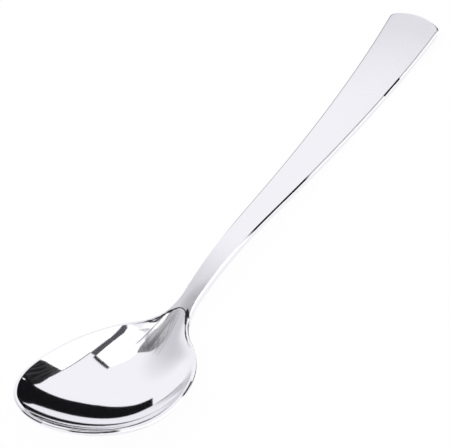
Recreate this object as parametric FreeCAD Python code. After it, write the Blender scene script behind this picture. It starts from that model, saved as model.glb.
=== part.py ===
import FreeCAD, Part
import math
import os

# A one-piece salad spoon in solid steel: a broad oval bowl, a narrow neck and a handle that widens
# to a shallow round end. It is drawn square on to the rim of the bowl, with X from the tip of the
# bowl to the end of the handle and Y across, and then laid down as it rests on a table. In mm.

# Plan
overall_length = 250.0
bowl_width = 64.0
widest_from_tip = 35.4
neck_from_tip = 94.4
neck_width = 7.8
shoulder_radius = 21.0
handle_middle_width = 14.8
handle_end_width = 24.6
handle_end_radius = 26.0
handle_corner_radius = 2.0

# Side profile of the top face, measured up from the tip of the bowl
rim_low_from_tip = 27.0
rim_low_height = -2.8
rim_back_from_tip = 60.0
rim_back_height = -2.3
shoulder_from_tip = 80.0
shoulder_height = 1.6
neck_height = 9.0
handle_start_from_tip = 110.0
handle_start_height = 16.3
handle_middle_from_tip = 150.0
handle_middle_height = 27.5
handle_bend_from_tip = 205.0
handle_bend_height = 43.6
handle_end_height = 63.3

# Hollow of the bowl
rim_land = 1.4
hollow_depth = 10.2
deepest_from_tip = 37.4
hollow_end_before_neck = 7.0
hollow_end_round = 5.5
wall_fullness = 0.3

# Thickness
rim_thickness = 1.6
bowl_wall = 2.0
neck_thickness = 3.7
handle_thickness = 2.8
neck_swell_length = 28.0
neck_taper_length = 42.0
keel_height = 3.0
keel_run_out = 30.0
under_smoothing = 3.0

# Edges: rounded round the top, with a fine bevel round the underside
top_edge_radius = 0.7
lower_edge_bevel = 0.4

# Blocks and curved faces that the spoon is cut from and with
block_bottom = -60.0
block_height = 180.0
cut_reach = 300.0
cut_margin = 4.0
station_spacing = 5.0
smoothing_samples = 9
hairline = 0.000001


def vector(x, y, z=0.0):
    return FreeCAD.Vector(x, y, z)


def blend(x, start, end):
    """Goes smoothly from 0 at start to 1 at end."""
    share = min(max((x - start) / (end - start), 0.0), 1.0)
    return share * share * (3.0 - 2.0 * share)


def dish(x, start, end):
    """1 where the bowl is deepest, 0 at the ends of a stretch and below zero outside it. Steeper
    on the side that the deepest place is nearer to."""
    share = (2.0 * x - start - end) / (end - start)
    deepest = (2.0 * deepest_from_tip - start - end) / (end - start)
    skew = 2.0 * deepest / (1.0 - 3.0 * deepest ** 2)
    deepest_value = (1.0 - deepest ** 2) * (1.0 + skew * deepest)
    leaning = 1.0 + skew * min(max(share, -1.0), 1.0)
    return (1.0 - share ** 2) * leaning / deepest_value


class Outline:
    """Half of the plan's edge, or of a line inside it: an ellipse with its widest point set back
    from the tip, the arc of the shoulder, and the handle's edge as a parabola from the neck."""

    def __init__(self, inset):
        self.half = bowl_width / 2 - inset
        self.front = widest_from_tip - inset
        self.radius = shoulder_radius + inset
        self.neck = neck_width / 2 - inset
        run = overall_length - neck_from_tip
        self.curve = (neck_width + handle_end_width - 2 * handle_middle_width) / run ** 2
        self.slope = (handle_end_width - neck_width) / 2 / run - self.curve * run
        reach = math.hypot(1.0, self.slope)
        self.centre_x = neck_from_tip - self.radius * self.slope / reach
        self.centre_y = self.neck + self.radius / reach
        self.join_shoulder()

    def join_shoulder(self):
        """Finds the rear of the ellipse that runs smoothly into the shoulder's arc."""
        low = math.radians(2.0)
        high = math.radians(85.0)
        for step in range(60):
            angle = (low + high) / 2
            self.join_x = self.centre_x - self.radius * math.cos(angle)
            self.join_y = self.centre_y - self.radius * math.sin(angle)
            self.turn = math.asin(min(max(self.join_y / self.half, -1.0), 1.0))
            self.rear = (self.join_x - widest_from_tip) / math.cos(self.turn)
            if math.tan(angle) > self.rear / self.half * math.tan(self.turn):
                high = angle
            else:
                low = angle

    def square(self, x):
        """Square of the half width, which runs on below zero ahead of the tip."""
        if x < widest_from_tip:
            return self.half ** 2 * (1 - ((x - widest_from_tip) / self.front) ** 2)
        if x < self.join_x:
            return self.half ** 2 * (1 - ((x - widest_from_tip) / self.rear) ** 2)
        if x < neck_from_tip:
            return (self.centre_y - math.sqrt(self.radius ** 2 - (x - self.centre_x) ** 2)) ** 2
        along = x - neck_from_tip
        return (self.neck + self.slope * along + self.curve * along ** 2) ** 2


outer = Outline(0.0)
inner = Outline(rim_land)
hollow_end = neck_from_tip - hollow_end_before_neck


def profile_curve():
    """The top face seen from the side, from the tip of the bowl to the end of the handle."""
    points = [vector(0, 0, 0),
              vector(rim_low_from_tip, 0, rim_low_height),
              vector(rim_back_from_tip, 0, rim_back_height),
              vector(shoulder_from_tip, 0, shoulder_height),
              vector(neck_from_tip, 0, neck_height),
              vector(handle_start_from_tip, 0, handle_start_height),
              vector(handle_middle_from_tip, 0, handle_middle_height),
              vector(handle_bend_from_tip, 0, handle_bend_height),
              vector(overall_length, 0, handle_end_height)]
    curve = Part.BSplineCurve()
    curve.interpolate(points)
    return curve


profile = profile_curve()


def top_height(x):
    """Height of the top face, which runs straight on past both ends."""
    if x < 0:
        lean = profile.tangent(profile.FirstParameter)[0]
        return x * lean.z / lean.x
    if x > overall_length:
        lean = profile.tangent(profile.LastParameter)[0]
        return handle_end_height + (x - overall_length) * lean.z / lean.x
    low = profile.FirstParameter
    high = profile.LastParameter
    for step in range(50):
        middle = (low + high) / 2
        if profile.value(middle).x < x:
            low = middle
        else:
            high = middle
    return profile.value(low).z


def hollow_square(x):
    """Square of the hollow's half width, closed by a round arch before the neck."""
    start = hollow_end - hollow_end_round
    if x < start:
        return inner.square(x)
    share = (x - start) / hollow_end_round
    return inner.square(min(x, hollow_end)) * (1 - share ** 3)


def section_terms(steepness, half_square):
    """A dish's cross-section, a little fuller than a parabola: its terms in y squared and in y to
    the fourth."""
    fullness = wall_fullness / (bowl_width / 2) ** 2
    return steepness * (1 - fullness * half_square), steepness * fullness


def hollow_section(x):
    depth = hollow_depth * dish(x, rim_land, hollow_end)
    half_square = hollow_square(x)
    second, fourth = section_terms(depth / half_square, half_square)
    return top_height(x) - depth, second, fourth


def side_thickness(x):
    swell = blend(x, neck_from_tip - neck_swell_length, neck_from_tip)
    taper = blend(x, neck_from_tip, neck_from_tip + neck_taper_length)
    swollen = rim_thickness + (neck_thickness - rim_thickness) * swell
    return swollen + (handle_thickness - neck_thickness) * taper


def belly_depth(x):
    """How far the middle of the underside hangs below its edges: deep under the bowl, then a
    keel that runs out under the neck."""
    depth = (hollow_depth + bowl_wall - rim_thickness) * dish(x, 0.0, hollow_end)
    if x < hollow_end / 2:
        return depth
    keel = keel_height * blend(x, hollow_end / 2, hollow_end)
    keel = keel * (1 - blend(x, hollow_end, hollow_end + keel_run_out))
    return (depth + math.hypot(depth, keel)) / 2


def under_middle(x):
    return top_height(x) - side_thickness(x) - belly_depth(x)


def under_section(x):
    """The underside, with its steepness averaged along the spoon so that it has no ripples."""
    steepness = 0.0
    for i in range(smoothing_samples):
        near = x + under_smoothing * (2.0 * i / (smoothing_samples - 1) - 1)
        steepness = steepness + belly_depth(near) / outer.square(near) / smoothing_samples
    second, fourth = section_terms(steepness, outer.square(x))
    return under_middle(x), second, fourth


def section_poles(x, reach, middle, second, fourth):
    """The five control points of a cross-section that reaches the same way to both sides."""
    square_part = second * reach ** 2
    fourth_part = fourth * reach ** 4
    edge = square_part + fourth_part
    heights = [edge, -fourth_part, fourth_part - square_part / 3, -fourth_part, edge]
    poles = []
    for i in range(5):
        poles.append(vector(x, reach * (i / 2.0 - 1.0), middle + heights[i]))
    return poles


def curved_face(section, square, start, end):
    """A smooth face through cross-sections worked out at each station, wider than the edge."""
    steps = math.ceil((end - start) / station_spacing)
    rows = []
    for i in range(steps + 1):
        x = start + (end - start) * i / steps + hairline
        reach = math.sqrt(max(square(x), 0.0)) + cut_margin
        middle, second, fourth = section(x)
        rows.append(section_poles(x, reach, middle, second, fourth))
    places = [row[2].x for row in rows]
    lines = []
    for j in range(5):
        line = Part.BSplineCurve()
        line.interpolate(Points=[row[j] for row in rows], Parameters=places)
        lines.append(line)
    poles = [list(column) for column in zip(*[line.getPoles() for line in lines])]
    surface = Part.BSplineSurface()
    surface.buildFromPolesMultsKnots(poles, lines[0].getMultiplicities(), [5, 5],
                                     lines[0].getKnots(), [0.0, 1.0], False, False,
                                     lines[0].Degree, 4)
    return surface.toShape()


def quarter_arc(half_length, first, last):
    """Part of the bowl's ellipse, between two angles from the X axis, drawn about its centre."""
    centre = vector(widest_from_tip, 0)
    along = centre + vector(half_length, 0)
    across = centre + vector(0, outer.half)
    if half_length > outer.half:
        ellipse = Part.Ellipse(along, across, centre)
        return Part.ArcOfEllipse(ellipse, first, last).toShape()
    ellipse = Part.Ellipse(across, centre - vector(half_length, 0), centre)
    return Part.ArcOfEllipse(ellipse, first - math.pi / 2, last - math.pi / 2).toShape()


def arc_about(centre, radius, start, end):
    """The shorter arc from start to end."""
    towards = ((start + end) / 2 - centre).normalize()
    return Part.Arc(start, centre + towards * radius, end).toShape()


def handle_corner():
    """Where the handle's edge meets the arc of its end."""
    x = overall_length
    for step in range(40):
        x = overall_length - handle_end_radius + math.sqrt(handle_end_radius ** 2 - outer.square(x))
    return vector(x, math.sqrt(outer.square(x)))


def half_block():
    """Half of the plan as a tall block, with the corner of the handle's end rounded."""
    join = vector(outer.join_x, outer.join_y)
    shoulder_centre = vector(outer.centre_x, outer.centre_y)
    neck = vector(neck_from_tip, outer.neck)
    corner = handle_corner()
    run = corner.x - neck.x
    edge = Part.BezierCurve()
    edge.setPoles([neck, neck + vector(run / 2, outer.slope * run / 2), corner])
    end_centre = vector(overall_length - handle_end_radius, 0)
    end = vector(overall_length, 0)
    lines = [quarter_arc(outer.front, math.pi / 2, math.pi),
             quarter_arc(outer.rear, outer.turn, math.pi / 2),
             arc_about(shoulder_centre, outer.radius, join, neck),
             edge.toShape(),
             arc_about(end_centre, handle_end_radius, corner, end),
             Part.makeLine(end, vector(0, 0))]
    face = Part.Face(Part.Wire(Part.__sortEdges__(lines)))
    face.translate(vector(0, 0, block_bottom))
    block = face.extrude(vector(0, 0, block_height))
    corners = []
    for line in block.Edges:
        middle = line.CenterOfMass
        if math.hypot(middle.x - corner.x, middle.y - corner.y) < handle_corner_radius / 10:
            corners.append(line)
    return block.makeFillet(handle_corner_radius, corners)


def above_top():
    """Everything over the top face."""
    front = vector(-cut_margin, 0, top_height(-cut_margin))
    past_end = overall_length + cut_margin
    back = vector(past_end, 0, top_height(past_end))
    lead = Part.makeLine(front, vector(0, 0, 0))
    tail = Part.makeLine(vector(overall_length, 0, handle_end_height), back)
    wire = Part.Wire([lead, profile.toShape(), tail])
    half = bowl_width / 2 + cut_margin
    wire.translate(vector(0, -half, 0))
    return wire.extrude(vector(0, 2 * half, 0)).extrude(vector(0, 0, cut_reach))


def below_underside():
    past_end = overall_length + cut_margin
    face = curved_face(under_section, outer.square, -cut_margin, past_end)
    return face.extrude(vector(0, 0, -cut_reach))


def bowl_hollow():
    past_end = hollow_end + cut_margin
    face = curved_face(hollow_section, hollow_square, rim_land - cut_margin, past_end)
    return face.extrude(vector(0, 0, cut_reach))


def edges_of(half, place):
    """The edges round the underside or round the top, apart from the edge of the hollow."""
    chosen = []
    for line in half.Edges:
        start = line.valueAt(line.FirstParameter)
        end = line.valueAt(line.LastParameter)
        middle = line.valueAt((line.FirstParameter + line.LastParameter) / 2)
        along_middle = abs(start.y) + abs(middle.y) + abs(end.y) < hairline * 10
        upright = abs(start.z - end.z) > line.Length * 0.99
        drop = top_height(middle.x) - middle.z
        land_middle = (inner.square(middle.x) + outer.square(middle.x)) / 2
        round_hollow = middle.x < neck_from_tip and middle.y ** 2 < land_middle
        if along_middle or upright:
            continue
        if drop > side_thickness(middle.x) / 2:
            found = "under"
        elif drop > lower_edge_bevel / 10 or round_hollow:
            found = "between"
        else:
            found = "top"
        if found == place:
            chosen.append(line)
    return chosen


def lowest(lean, start, end):
    """Least height of the underside's middle between two stations, once leant by an angle."""
    steps = 200
    heights = []
    for i in range(steps + 1):
        x = start + (end - start) * i / steps
        heights.append(under_middle(x) * math.cos(lean) - x * math.sin(lean))
    return min(heights)


def resting_lean():
    """The angle at which the bowl and the handle touch a table together."""
    low = 0.0
    high = math.radians(45.0)
    for step in range(30):
        lean = (low + high) / 2
        if lowest(lean, neck_from_tip, overall_length) > lowest(lean, 0.0, neck_from_tip):
            low = lean
        else:
            high = lean
    return math.degrees(lean)


def spoon():
    half = half_block().cut(above_top()).cut(below_underside()).cut(bowl_hollow())
    half = half.makeChamfer(lower_edge_bevel, edges_of(half, "under"))
    half = half.makeFillet(top_edge_radius, edges_of(half, "top"))
    body = half.fuse(half.mirror(vector(0, 0), vector(0, 1))).removeSplitter()
    body.rotate(vector(0, 0), vector(0, 1), resting_lean())
    box = body.optimalBoundingBox(False)
    body.translate(vector(-box.Center.x, -box.Center.y, -box.ZMin))
    return body


os.makedirs("parts", exist_ok=True)
spoon().exportStep("parts/spoon.step")
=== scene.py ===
import math

import bpy
import numpy as np
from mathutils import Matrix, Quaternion, Vector
from mathutils.kdtree import KDTree

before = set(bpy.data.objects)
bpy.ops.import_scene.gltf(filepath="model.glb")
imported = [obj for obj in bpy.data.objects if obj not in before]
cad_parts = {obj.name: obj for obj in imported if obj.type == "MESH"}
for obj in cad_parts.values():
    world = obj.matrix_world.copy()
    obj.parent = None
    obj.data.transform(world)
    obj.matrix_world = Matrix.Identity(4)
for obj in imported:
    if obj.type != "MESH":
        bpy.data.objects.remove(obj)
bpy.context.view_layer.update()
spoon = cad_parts["spoon"]

# The view, measured from the photograph's outline
camera_azimuth = math.radians(-40.33)
camera_elevation = math.radians(46.55)
camera_roll = math.radians(-19.48)
camera_distance = 1.5922
camera_aim = Vector((-0.0039, 0.0056, 0.012))
camera_lens = 320.0
camera_sensor = 36.0

# Places along the spoon. X runs from the tip of the bowl to the end of the handle, and Y points
# to the side that is far in the photograph
bowl_middle_x = -0.083
shoulder_x = -0.060
neck_x = -0.036
neck_blend = 0.006
fan_start_x = neck_x + 0.004
last_stretch_x = 0.110

# Shading of the curved faces
merge_digits = 7
crease_angle = math.radians(24.0)
mostly_level = 0.5
curved_least_area = 0.0005
hollow_group = -1
underside_group = -2
hollow_end_gap = 0.009
fit_reach = 0.011
fit_least_reach = 0.004
fit_reach_share = 0.8
fit_least_points = 14
edge_steps = 6

# Steel. A fineness says how many patches of noise lie in a metre or a radian, along the lines and
# across them
bowl_roughness = 0.045
handle_roughness = 0.075
under_rim_roughness = 0.13
fan_roughness = 0.10
polish_roughness = 0.02
steel_colour = (0.93, 0.925, 0.945)
satin_colour = (0.84, 0.84, 0.87)
# The next four colours are painted dark reflections: in the fan of brushed lines, along the
# handle's edges, on the handle's near edge and the rim, and in the crease round the hollow
painted_fan_reflection_colour = (0.20, 0.20, 0.22)
painted_edge_reflection_colour = (0.22, 0.22, 0.24)
painted_reflection_colour = (0.01, 0.01, 0.012)
painted_arch_colour = (0.02, 0.02, 0.025)
satin_fineness = (30.0, 2600.0)
polish_fineness = (6.0, 1500.0)
fan_fineness = (22.0, 55.0)
painted_arch_fineness = 260.0
line_strength = 0.02
line_height = 0.00005

# Where each line, mark or painted dark reflection on the steel starts, is full, fades again and
# ends
fan_stretch = (neck_x - 0.031, neck_x - 0.027, neck_x - 0.014, neck_x - 0.008)
fan_dark_angles = (-0.10, 0.02, 0.27, 0.36)
painted_spot_stretch = (neck_x - 0.0115, neck_x - 0.0105, neck_x - 0.0075, neck_x - 0.0065)
painted_spot_distance = (0.0, 0.0001, 0.0012, 0.0017)
convex_rim = (0.00002, 0.00015, 0.0014, 0.0022)
long_painted_reflection = (-0.005, 0.001, 0.033, 0.038)
short_painted_reflection = (0.0860, 0.0868, 0.0967, 0.0975)

# Widths and fades of the painted dark reflections along the arch and on the rim
arch_half_width = 0.00022
arch_unevenness = 0.00030
arch_softness = 0.00012
painted_rim_reflection_angles = ((-2.92, -2.42), (-1.62, -1.22), (2.84, 3.30))
painted_rim_reflection_fade = 0.08

# Lights and surroundings
paper_white = (1.0, 1.0, 1.0)
paper_colour = (0.97, 0.97, 0.97)
sky_pale = (0.955, 0.951, 0.984)
sky_grey = (0.64, 0.635, 0.675)
grey_towards = (0.050, 0.737, 0.674)
grey_nearness = (0.86, 1.0)
ground_shade = (0.50, 0.50, 0.53)
shaded_heights = (-0.88, -1.0)
frame_colour = (0.085, 0.085, 0.095)
black_colour = (0.007, 0.007, 0.008)
blind_colour = (0.97, 0.97, 1.0)
blind_pale_colour = (0.60, 0.595, 0.63)
blind_way = (0.67, 0.74)
blind_fineness = (1.0, 26.0)
cupboard_colour = (0.95, 0.95, 1.0)
cupboard_slope = 0.42
cupboard_fineness = (0.8, 16.0)
ceiling_height = 2.0
ceiling_layer = 0.01
wall_reach = 2.5
wall_behind = 1.02
wall_in_front = 0.98
window_strength = 1.3
floor_half = 1.5
shadow_share = 0.05


def add_camera():
    back = Vector((math.sin(camera_azimuth) * math.cos(camera_elevation),
                   -math.cos(camera_azimuth) * math.cos(camera_elevation),
                   math.sin(camera_elevation)))
    data = bpy.data.cameras.new("camera")
    data.lens = camera_lens
    data.sensor_width = camera_sensor
    camera = bpy.data.objects.new("camera", data)
    camera.rotation_mode = "QUATERNION"
    camera.location = camera_aim + back * camera_distance
    upright = (-back).to_track_quat("-Z", "Y")
    camera.rotation_quaternion = upright @ Quaternion((0, 0, 1), camera_roll)
    bpy.context.scene.collection.objects.link(camera)
    bpy.context.scene.camera = camera


def joined(count, pairs):
    """Numbers things from 0 to count, with one number for all that the pairs join."""
    parent = list(range(count))

    def top(thing):
        while parent[thing] != thing:
            parent[thing] = parent[parent[thing]]
            thing = parent[thing]
        return thing

    for one, other in pairs:
        parent[top(other)] = top(one)
    return np.array([top(thing) for thing in range(count)])


def shared_by(used):
    """Pairs of faces that use the same vertex."""
    first = {}
    for face, vertices in enumerate(used):
        for vertex in vertices:
            yield first.setdefault(vertex, face), face


def smoothly_met(corners, normals, faces):
    """Pairs of the chosen faces that share an edge without a crease."""
    by_edge = {}
    least = math.cos(crease_angle)
    for face in faces:
        a, b, c = corners[face]
        for start, end in ((a, b), (b, c), (c, a)):
            edge = (min(start, end), max(start, end))
            other = by_edge.setdefault(edge, face)
            if other != face and float(normals[face] @ normals[other]) > least:
                yield other, face


def face_groups(places, used, corners, normals, areas):
    """Numbers the faces: one number each for the hollow, the underside and each smooth stretch."""
    patches = joined(len(used), shared_by(used))
    groups = np.zeros(len(used), dtype=int)
    rest = []
    for patch in np.unique(patches):
        faces = np.flatnonzero(patches == patch)
        area = float(areas[faces].sum())
        upward = float(normals[faces, 2] @ areas[faces]) / area
        last_x = max(places[i][0] for face in faces for i in used[face])
        in_hollow = upward > mostly_level and last_x < neck_x
        if area > curved_least_area and (in_hollow or upward < -mostly_level):
            groups[faces] = hollow_group if in_hollow else underside_group
        else:
            rest.extend(faces)
    groups[rest] = joined(len(used), smoothly_met(corners, normals, rest))[rest]
    return groups


def fitted_normal(place, normal, near, reach):
    """Normal of the smooth surface through the points round a place: a cubic fitted to them."""
    side = normal.orthogonal().normalized()
    across = normal.cross(side)
    away = (np.array(near) - np.array(place)) / reach
    u = away @ np.array(side)
    v = away @ np.array(across)
    height = away @ np.array(normal)
    weight = np.clip(1.0 - (u * u + v * v), 0.0, 1.0)
    terms = [np.ones_like(u), u, v, u * u, u * v, v * v, u ** 3, u * u * v, u * v * v, v ** 3]
    terms = np.stack(terms, axis=1) * weight[:, None]
    found = np.linalg.lstsq(terms, height * weight, rcond=None)[0]
    return (normal - side * found[1] - across * found[2]).normalized()


def tree_of(places):
    """Search tree over a list of places."""
    tree = KDTree(len(places))
    for i, place in enumerate(places):
        tree.insert(place, i)
    tree.balance()
    return tree


def fitted_normals(places, normals):
    """Normals of one curved face, fitted in the bowl with a reach that shrinks to its end."""
    tree = tree_of(places)
    result = list(normals)
    for i, place in enumerate(places):
        reach = (neck_x - hollow_end_gap - place.x) * fit_reach_share
        reach = min(max(reach, fit_least_reach), fit_reach)
        near = [found[0] for found in tree.find_range(place, reach)]
        if place.x < neck_x and len(near) >= fit_least_points:
            result[i] = fitted_normal(place, normals[i], near, reach)
    return result


def mark_edge(mesh, used, corners, in_hollow):
    """Writes on each vertex how far it lies outside the edge of the hollow, less than 0 inside."""
    sides = {}
    inside = set()
    for face, (vertices, own) in enumerate(zip(corners, used)):
        for k in range(3):
            ends = tuple(sorted((vertices[k], vertices[k - 2])))
            sides.setdefault(ends, []).append((bool(in_hollow[face]), own[k], own[k - 2]))
        if in_hollow[face]:
            inside.update(own)
    points = []
    for found in sides.values():
        if len({side[0] for side in found}) == 2:
            start, end = (mesh.vertices[i].co for i in found[0][1:])
            points.extend(start.lerp(end, k / edge_steps) for k in range(edge_steps + 1))
    tree = tree_of(points)
    attribute = mesh.attributes.new("edge_distance", "FLOAT", "POINT")
    distances = [tree.find(vertex.co)[2] * (-1 if vertex.index in inside else 1)
                 for vertex in mesh.vertices]
    attribute.data.foreach_set("value", distances)


def shade_smooth(thing):
    """Gives each corner the normal of the true curved face, so that reflections don't ripple."""
    mesh = thing.data
    mesh.polygons.foreach_set("use_smooth", [True] * len(mesh.polygons))
    places = np.array([vertex.co for vertex in mesh.vertices])
    rounded = np.round(places, merge_digits)
    merged = np.unique(rounded, axis=0, return_inverse=True)[1].reshape(-1)
    used = [tuple(polygon.vertices) for polygon in mesh.polygons]
    corners = [tuple(int(merged[i]) for i in vertices) for vertices in used]
    normals = np.array([polygon.normal for polygon in mesh.polygons])
    areas = np.array([polygon.area for polygon in mesh.polygons])
    groups = face_groups(places, used, corners, normals, areas)
    total = {}
    where = {}
    for face, vertices in enumerate(corners):
        for vertex, i in zip(vertices, used[face]):
            key = (int(groups[face]), vertex)
            total[key] = total.get(key, Vector((0, 0, 0))) + Vector(normals[face]) * areas[face]
            where[key] = mesh.vertices[i].co
    result = {key: value.normalized() for key, value in total.items()}
    for group in (hollow_group, underside_group):
        keys = [key for key in total if key[0] == group]
        found = fitted_normals([where[key] for key in keys], [result[key] for key in keys])
        result.update(zip(keys, found))
    mark_edge(mesh, used, corners, groups == hollow_group)
    split = [result[(int(groups[face]), vertex)]
             for face, vertices in enumerate(corners) for vertex in vertices]
    mesh.normals_split_custom_set(split)


class Tree:
    """Adds nodes to a material or world, each joined to the ones that feed it."""

    def __init__(self, owner):
        owner.use_nodes = True
        self.tree = owner.node_tree
        self.tree.nodes.clear()

    def feed(self, socket, value):
        if isinstance(value, bpy.types.NodeSocket):
            self.tree.links.new(value, socket)
        else:
            socket.default_value = value

    def add(self, kind, inputs=None, **settings):
        made = self.tree.nodes.new(kind)
        for name, value in settings.items():
            setattr(made, name, value)
        for name, value in (inputs or {}).items():
            self.feed(made.inputs[name], value)
        return made

    def math(self, operation, *values):
        inputs = dict(enumerate(values))
        return self.add("ShaderNodeMath", inputs, operation=operation).outputs[0]

    def chained(self, operation, values):
        result = values[0]
        for value in values[1:]:
            result = self.math(operation, result, value)
        return result

    def plus(self, *values):
        return self.chained("ADD", values)

    def minus(self, first, second):
        return self.math("SUBTRACT", first, second)

    def times(self, *values):
        return self.chained("MULTIPLY", values)

    def largest(self, *values):
        return self.chained("MAXIMUM", values)

    def ramp(self, value, start, end, low=0.0, high=1.0):
        """Goes smoothly from low to high as the value goes from start to end."""
        inputs = {"Value": value, "From Min": start, "From Max": end, "To Min": low, "To Max": high}
        made = self.add("ShaderNodeMapRange", inputs, interpolation_type="SMOOTHSTEP")
        return made.outputs["Result"]

    def window(self, value, start, full, fading, end):
        """1 from full to fading, and 0 before start and after end."""
        return self.times(self.ramp(value, start, full), self.ramp(value, end, fading))

    def blend(self, factor, first, second):
        """Colour between the first, at factor 0, and the second, at factor 1."""
        made = self.add("ShaderNodeMix", {"Factor": factor}, data_type="RGBA")
        for socket, value in ((6, first), (7, second)):
            self.feed(made.inputs[socket], (*value, 1.0) if isinstance(value, tuple) else value)
        return made.outputs[2]

    def streaks(self, along, across, fineness, detail=2.0):
        """Noise drawn out into lines along the first coordinate."""
        place = self.add("ShaderNodeCombineXYZ", {"X": self.times(along, fineness[0]),
                                                  "Y": self.times(across, fineness[1])})
        inputs = {"Vector": place.outputs[0], "Scale": 1.0, "Detail": detail, "Roughness": 0.6}
        return self.add("ShaderNodeTexNoise", inputs, noise_dimensions="2D").outputs["Fac"]

    def split(self, vector):
        """The X, Y and Z of a vector."""
        made = self.add("ShaderNodeSeparateXYZ", {0: vector})
        return made.outputs["X"], made.outputs["Y"], made.outputs["Z"]

    def glowing(self, colour, strength):
        """Makes light of its own the whole look of the surface."""
        shader = self.add("ShaderNodeEmission", {"Color": colour, "Strength": strength})
        self.add("ShaderNodeOutputMaterial", {"Surface": shader.outputs[0]})


class SteelTree(Tree):
    """The steel of the spoon, with a method for each kind of line, mark or painted dark reflection
    on it.
    """

    def __init__(self, owner):
        super().__init__(owner)
        place = self.add("ShaderNodeTexCoord")
        self.x, self.y, _ = self.split(place.outputs["Object"])
        self.endways, self.sideways, self.upwards = self.split(place.outputs["Normal"])
        edge = self.add("ShaderNodeAttribute", attribute_name="edge_distance")
        self.outside_edge = edge.outputs["Fac"]
        self.on_handle = self.ramp(self.x, neck_x - neck_blend, neck_x + neck_blend)
        from_middle = self.minus(self.x, bowl_middle_x)
        self.around = self.math("ARCTAN2", self.y, from_middle)
        self.from_middle = self.math("SQRT", self.plus(self.times(from_middle, from_middle),
                                                       self.times(self.y, self.y)))

    def satin(self):
        """Lines of the satin finish, along the handle."""
        return self.streaks(self.x, self.y, satin_fineness)

    def polish(self):
        """Marks of the polishing, round the bowl."""
        return self.streaks(self.around, self.from_middle, polish_fineness)

    def brushed_fan_and_reflection(self):
        """Brushed lines that spread from the neck into the bowl, coloured with a painted dark
        reflection that is darkest on the far side.
        """
        from_start = self.minus(fan_start_x, self.x)
        angle = self.math("ARCTAN2", self.y, from_start)
        lines = self.streaks(from_start, angle, fan_fineness, 4.0)
        far_side = self.times(self.window(angle, *fan_dark_angles),
                              self.ramp(self.x, neck_x - 0.010, neck_x - 0.024, 0.6))
        share = self.plus(0.03, self.times(far_side, 0.62))
        return self.times(self.window(self.x, *fan_stretch), share, self.ramp(lines, 0.40, 0.60))

    def painted_arch_reflection(self):
        """Painted dark reflection in the crease round the end of the hollow: a line of uneven
        width, and a dark spot.
        """
        patchy = self.streaks(self.x, self.ramp(self.y, 0.0, 0.004), (painted_arch_fineness, 1.0))
        half_width = self.plus(arch_half_width,
                               self.times(self.ramp(patchy, 0.4, 0.65), arch_unevenness))
        past = self.minus(self.math("ABSOLUTE", self.outside_edge), half_width)
        line = self.times(self.ramp(past, arch_softness, -arch_softness),
                          self.ramp(self.x, shoulder_x, shoulder_x + 0.006))
        painted_spot = self.times(self.window(self.x, *painted_spot_stretch),
                          self.ramp(self.y, -0.0018, -0.0026),
                          self.window(self.outside_edge, *painted_spot_distance))
        return self.largest(line, painted_spot)

    def painted_edge_reflections(self):
        """Painted dark reflections along the rounded edges of the handle, heavier on the far one.
        """
        tilt = self.math("ABSOLUTE", self.sideways)
        rounded = self.times(self.window(tilt, 0.02, 0.12, 0.65, 0.85),
                             self.ramp(self.endways, 0.25, 0.12))
        far_edge = self.times(self.ramp(self.sideways, 0.0, 0.02),
                              self.ramp(self.x, -0.01, 0.06))
        return self.times(rounded, self.ramp(self.x, -0.012, 0.004),
                          self.plus(0.70, self.times(far_edge, 0.22)))

    def painted_handle_reflections(self):
        """Painted dark reflections on the near edge of the handle and on its near corner."""
        lengths = self.plus(self.window(self.x, *long_painted_reflection), self.window(self.x, *short_painted_reflection))
        near_edge = self.window(self.sideways, -0.97, -0.90, -0.12, -0.05)
        corner = self.times(self.ramp(self.sideways, -0.22, -0.32),
                            self.ramp(self.endways, 0.15, 0.3),
                            self.ramp(self.x, last_stretch_x, last_stretch_x + 0.005),
                            self.ramp(self.upwards, 0.1, 0.3))
        return self.largest(self.times(lengths, near_edge), corner)

    def painted_rim_reflections(self):
        """Painted dark reflections on the rounded outer edge of the rim, in three places round the
        bowl.
        """
        places = self.largest(*(self.window(self.around, start, start + painted_rim_reflection_fade,
                                            end - painted_rim_reflection_fade, end)
                                for start, end in painted_rim_reflection_angles))
        rounded = self.window(self.upwards, 0.40, 0.52, 0.90, 0.98)
        return self.times(places, rounded, self.ramp(self.outside_edge, 0.0003, 0.0006),
                          self.ramp(self.x, shoulder_x + 0.005, shoulder_x - 0.005), 0.95)

    def roughness(self, brushed_fan_and_reflection, polish):
        base = self.ramp(self.on_handle, 0.0, 1.0, bowl_roughness, handle_roughness)
        under_rim = self.times(self.ramp(self.outside_edge, -0.0048, -0.0020),
                               self.ramp(self.y, 0.004, -0.010))
        return self.plus(base, self.times(brushed_fan_and_reflection, fan_roughness),
                         self.times(polish, polish_roughness),
                         self.times(under_rim, under_rim_roughness))

    def normal(self, satin, polish):
        """Normal of the surface with its fine lines, convex on the rim and the handle's end."""
        rim = self.times(self.window(self.outside_edge, *convex_rim),
                         self.ramp(self.x, shoulder_x + 0.010, shoulder_x))
        end = self.times(self.ramp(self.endways, 0.03, 0.12),
                         self.ramp(self.x, last_stretch_x, last_stretch_x + 0.002), 2.0)
        flat = self.add("ShaderNodeNewGeometry").outputs["Normal"]
        raised = self.add("ShaderNodeCombineXYZ", {"Z": self.largest(rim, end)}).outputs[0]
        convex = self.add("ShaderNodeVectorMath", {0: flat, 1: raised}, operation="ADD")
        convex = self.add("ShaderNodeVectorMath", {0: convex.outputs[0]}, operation="NORMALIZE")
        lines = self.plus(self.times(satin, self.on_handle),
                          self.times(polish, self.ramp(self.on_handle, 0.0, 1.0, 0.35, 0.0)))
        bump = self.add("ShaderNodeBump", {"Height": lines, "Strength": line_strength,
                                           "Distance": line_height, "Normal": convex.outputs[0]})
        return bump.outputs["Normal"]


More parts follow.
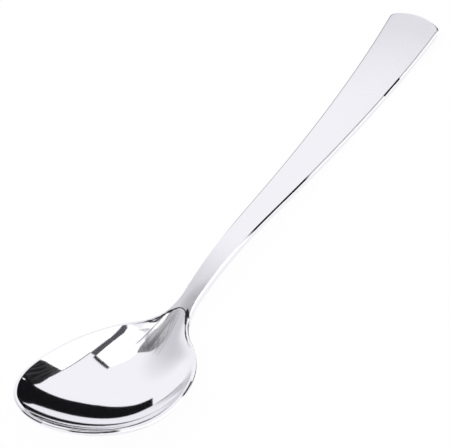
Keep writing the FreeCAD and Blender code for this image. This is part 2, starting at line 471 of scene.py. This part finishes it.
def steel():
    material = bpy.data.materials.new("steel")
    tree = SteelTree(material)
    satin, polish, brushed_fan_and_reflection = tree.satin(), tree.polish(), tree.brushed_fan_and_reflection()
    colour = tree.blend(tree.times(satin, 0.05), steel_colour, satin_colour)
    # Painted dark reflection in the fan of brushed lines
    colour = tree.blend(brushed_fan_and_reflection, colour, painted_fan_reflection_colour)
    # Painted dark reflections along the handle's rounded edges
    colour = tree.blend(tree.painted_edge_reflections(), colour, painted_edge_reflection_colour)
    # Painted dark reflections on the handle's near edge and corner and on the rim
    colour = tree.blend(tree.largest(tree.painted_handle_reflections(), tree.painted_rim_reflections()), colour, painted_reflection_colour)
    # Painted dark reflection in the crease round the end of the hollow
    colour = tree.blend(tree.times(tree.painted_arch_reflection(), 0.97), colour, painted_arch_colour)
    shader = tree.add("ShaderNodeBsdfPrincipled",
                      {"Base Color": colour, "Metallic": 1.0,
                       "Roughness": tree.roughness(brushed_fan_and_reflection, polish),
                       "Normal": tree.normal(satin, polish)})
    tree.add("ShaderNodeOutputMaterial", {"Surface": shader.outputs[0]})
    return material


def glow(name, colour, strength):
    material = bpy.data.materials.new(name)
    Tree(material).glowing((*colour, 1.0), strength)
    return material


def drawn_blind():
    """A grey blind with lighter and darker strips, and a pale stretch beyond it."""
    material = bpy.data.materials.new("blind")
    tree = Tree(material)
    x, y, _ = tree.split(tree.add("ShaderNodeTexCoord").outputs["Object"])
    along = tree.plus(tree.times(x, blind_way[0]), tree.times(y, blind_way[1]))
    across = tree.minus(tree.times(x, blind_way[1]), tree.times(y, blind_way[0]))
    strips = tree.streaks(along, across, blind_fineness)
    level = tree.times(tree.ramp(x, -0.1, 0.72, 0.52, 0.24),
                       tree.ramp(strips, 0.35, 0.65, 0.70, 1.40))
    pale = tree.ramp(y, 1.05, 1.50)
    strength = tree.plus(tree.times(level, tree.minus(1.0, pale)), pale)
    tree.glowing(tree.blend(pale, blind_colour, blind_pale_colour), strength)
    return material


def drawn_cupboard():
    """Dark boards with slightly paler lines that rise along them, paler towards the top."""
    material = bpy.data.materials.new("cupboard")
    tree = Tree(material)
    _, y, z = tree.split(tree.add("ShaderNodeTexCoord").outputs["Object"])
    across = tree.plus(y, tree.times(z, cupboard_slope))
    lines = tree.streaks(z, across, cupboard_fineness, 3.0)
    level = tree.plus(tree.ramp(lines, 0.35, 0.68, 0.006, 0.050),
                      tree.ramp(z, 1.0, 1.9, 0.0, 0.05))
    tree.glowing((*cupboard_colour, 1.0), level)
    return material


def staged(name, corners, material):
    """A sheet in the surroundings, filled between its corners."""
    mesh = bpy.data.meshes.new(name)
    mesh.from_pydata(corners, [], [list(range(len(corners)))])
    mesh.materials.append(material)
    sheet = bpy.data.objects.new(name, mesh)
    bpy.context.scene.collection.objects.link(sheet)
    return sheet


def card(name, corners, material):
    """A sheet that is seen only mirrored in the steel."""
    sheet = staged(name, corners, material)
    sheet.visible_camera = False
    sheet.visible_diffuse = False
    sheet.visible_shadow = False
    sheet.visible_transmission = False


def ceiling_card(name, corners, material, layer=0):
    """Corners are where the card appears on the ceiling. A higher layer hangs in front."""
    height = ceiling_height - layer * ceiling_layer
    scale = height / ceiling_height
    card(name, [(x * scale, y * scale, height) for x, y in corners], material)


def wall_card(name, corners, material, reach=1.0):
    """Corners are compass angles from the handle's direction and heights as angles."""
    places = []
    for turn, rise in corners:
        turn, rise = math.radians(turn), math.radians(rise)
        across = Vector((math.cos(turn), math.sin(turn), math.tan(rise)))
        places.append(across * wall_reach * reach)
    card(name, places, material)


def surroundings():
    """A room of cards, placed by following the view back from the hollow's reflections."""
    window = glow("window", paper_white, window_strength)
    frame_grey = glow("frame_grey", frame_colour, 1.0)
    black = glow("black", black_colour, 1.0)
    ceiling_card("window_near", [(-0.76, -0.50), (0.0, 0.28), (0.55, 0.71), (0.95, 0.69),
                                 (1.26, 0.46), (1.09, -0.24), (0.41, -0.28), (0.0, -0.30),
                                 (-0.41, -0.41)], window)
    ceiling_card("window_far", [(-0.41, -0.60), (0.41, -0.48), (1.08, -0.52), (2.64, -0.69),
                                (3.46, -1.71), (5.0, -3.3), (0.51, -2.3), (-0.68, -1.35)], window)
    ceiling_card("window_bar", [(-0.8, -0.62), (-0.41, -0.41), (0.0, -0.30), (0.41, -0.28),
                                (1.09, -0.24), (1.09, -0.48), (0.41, -0.46), (-0.41, -0.58)],
                 frame_grey, 1)
    ceiling_card("window_rail", [(1.08, -0.48), (2.72, -0.66), (2.72, -0.70), (1.08, -0.52)],
                 frame_grey, 1)
    ceiling_card("window_post", [(1.06, -0.27), (1.15, 0.18), (1.245, 0.47), (1.325, 0.49),
                                 (1.245, 0.16), (1.155, -0.27)], black, 2)
    ceiling_card("blind", [(-0.46, -0.22), (-0.12, 0.14), (0.25, 0.43), (0.62, 0.60),
                           (0.74, 0.68), (0.72, 0.86), (0.69, 1.10), (0.58, 1.22), (0.38, 1.28),
                           (0.20, 1.60), (-0.46, 1.60)], drawn_blind(), 1)
    wall_card("dark_cupboard", [(-14.3, 36.6), (-8.9, 24.1), (-2.5, 12.7), (0.0, 5.0),
                                (0.0, -20.0), (-33.0, -20.0), (-32.0, 15.0), (-28.6, 26.4),
                                (-23.9, 30.8), (-19.2, 34.3)], drawn_cupboard(), wall_behind)
    wall_card("window_low", [(-100.0, 2.0), (-100.0, -38.0), (-50.0, -38.0), (-50.0, 2.0)], window)
    wall_card("lamp", [(-7.5, -1.2), (-3.5, -1.2), (-3.5, 0.8), (-7.5, 0.8)], window,
              wall_in_front)
    wall_card("black_screen", [(-27.0, 1.0), (1.2, 5.3), (7.8, 9.5), (15.7, 13.4), (23.8, 16.9),
                               (32.8, 17.9), (41.8, 16.0), (49.8, 13.4), (56.2, 12.0),
                               (55.9, -25.0), (40.0, -25.0), (20.0, -25.0), (0.0, -25.0),
                               (-27.0, -25.0)], black)


def studio_world():
    """White light from all round, which the steel mirrors slightly tinted and shaded."""
    world = bpy.data.worlds.new("studio")
    tree = Tree(world)
    way = tree.add("ShaderNodeTexCoord").outputs["Generated"]
    nearness = tree.add("ShaderNodeVectorMath", {0: way, 1: grey_towards}, operation="DOT_PRODUCT")
    mirrored = tree.blend(tree.ramp(nearness.outputs["Value"], *grey_nearness), sky_pale, sky_grey)
    _, _, height = tree.split(way)
    mirrored = tree.blend(tree.ramp(height, *shaded_heights), mirrored, ground_shade)
    light = tree.add("ShaderNodeLightPath")
    colour = tree.blend(light.outputs["Is Glossy Ray"], paper_white, mirrored)
    shader = tree.add("ShaderNodeBackground", {"Color": colour, "Strength": 1.0})
    tree.add("ShaderNodeOutputWorld", {"Surface": shader.outputs[0]})
    bpy.context.scene.world = world


def paper_floor():
    """White paper that shows the spoon's shadow faintly."""
    material = bpy.data.materials.new("paper")
    tree = Tree(material)
    light = tree.add("ShaderNodeLightPath")
    lit = tree.add("ShaderNodeBsdfDiffuse", {"Color": (*paper_colour, 1.0)})
    glowing = tree.add("ShaderNodeEmission", {"Color": (*paper_white, 1.0)})
    share = tree.times(light.outputs["Is Camera Ray"], 1.0 - shadow_share)
    mixed = tree.add("ShaderNodeMixShader", {0: share, 1: lit.outputs[0], 2: glowing.outputs[0]})
    tree.add("ShaderNodeOutputMaterial", {"Surface": mixed.outputs[0]})
    size = floor_half
    floor = staged("floor", [(-size, -size, 0), (size, -size, 0), (size, size, 0),
                             (-size, size, 0)], material)
    floor.visible_glossy = False


add_camera()
shade_smooth(spoon)
spoon.data.materials.clear()
spoon.data.materials.append(steel())
paper_floor()
surroundings()
studio_world()
bpy.context.scene.view_settings.view_transform = "Standard"
